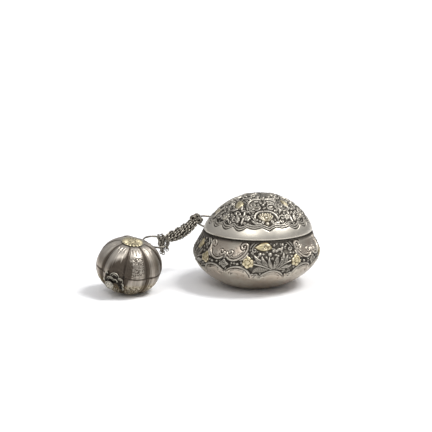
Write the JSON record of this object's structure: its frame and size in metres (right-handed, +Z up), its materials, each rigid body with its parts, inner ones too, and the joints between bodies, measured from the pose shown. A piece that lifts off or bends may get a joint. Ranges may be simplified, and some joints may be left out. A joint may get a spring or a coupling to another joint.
{
  "type": "betel box with chained lime box",
  "caption": "Round silver betel box with a hinged domed lid, joined by a fine chain with ring ends to a small ribbed lime box that opens at its seam.",
  "frame": {"origin": "centre of the flat foot of the bowl, on the surface it stands on", "axes": "+Z up, +Y to the back, -Y to the front where the main flower of the lid is, -X towards the lime box"},
  "size_m": [0.1478, 0.0938, 0.0615],
  "materials": {
    "chased_silver": "silver chased in relief, tarnished dark in the hollows, with some flowers gilt",
    "plain_silver": "plain worn silver",
    "dark_silver": "dark tarnished silver wire",
    "warm_silver": "polished silver with a warm brown tarnish in the grooves",
    "gilt": "thin worn pale gilding on silver"
  },
  "bodies": {
    "bowl": {"bowl": "chased_silver", "bowl_collar": "plain_silver", "bowl_hinge_leaf": "plain_silver", "bowl_ring_eye": "plain_silver", "lid_hinge_pin": "dark_silver"},
    "lid": {"lid": "chased_silver", "lid_hinge_leaf": "plain_silver"},
    "box_ring": {"box_ring": "dark_silver"},
    "chain_box_half": {"box_gather_link": "dark_silver", "upper_strand_box_half": "dark_silver", "middle_strand_box_half": "dark_silver", "lower_strand_box_half": "dark_silver"},
    "chain_lime_half": {"lime_gather_link": "dark_silver", "upper_strand_lime_half": "dark_silver", "middle_strand_lime_half": "dark_silver", "lower_strand_lime_half": "dark_silver"},
    "lime_ring": {"lime_box_ring": "dark_silver"},
    "lime_upper": {"lime_box_upper": "warm_silver", "lime_box_rosette": "gilt", "lime_box_ring_eye": "plain_silver", "lime_box_upper_hinge_leaf": "warm_silver", "lime_box_hinge_pin": "dark_silver"},
    "lime_lower": {"lime_box_lower": "warm_silver", "lime_box_collar": "plain_silver", "lime_box_lower_hinge_leaf": "warm_silver", "lime_box_leaf_spray": "dark_silver", "lime_box_knob": "plain_silver"}
  },
  "joints": [
    {"name": "lid_open", "type": "hinge", "parent": "bowl", "child": "lid", "pos_m": [-0.00449, 0.03811, 0.0372], "axis": [-0.9848, -0.1736, 0], "range_deg": [0, 110]},
    {"name": "box_ring_swing", "type": "hinge", "parent": "bowl", "child": "box_ring", "pos_m": [-0.02541, 0.03351, 0.03017], "axis": [-0.7771, -0.6293, 0], "range_deg": [-45, 70]},
    {"name": "chain_lift", "type": "hinge", "parent": "box_ring", "child": "chain_box_half", "pos_m": [-0.03954, 0.0379, 0.03441], "axis": [-0.7899, 0.6132, 0], "range_deg": [-35, 35]},
    {"name": "chain_bend", "type": "hinge", "parent": "chain_box_half", "child": "chain_lime_half", "pos_m": [-0.04974, 0.02477, 0.03043], "axis": [-0.1216, -0.1566, 0.9801], "range_deg": [-30, 30]},
    {"name": "lime_ring_lift", "type": "hinge", "parent": "chain_lime_half", "child": "lime_ring", "pos_m": [-0.06008, 0.01144, 0.02763], "axis": [-0.7899, 0.6132, 0], "range_deg": [-35, 35]},
    {"name": "lime_box_swing", "type": "hinge", "parent": "lime_ring", "child": "lime_upper", "pos_m": [-0.07049, -0.00342, 0.0263], "axis": [-0.874, 0.4361, 0.2143], "range_deg": [-45, 45]},
    {"name": "lime_box_open", "type": "hinge", "parent": "lime_upper", "child": "lime_lower", "pos_m": [-0.07163, -0.00248, 0.01974], "axis": [0.874, -0.4361, -0.2143], "range_deg": [0, 90]}
  ]
}
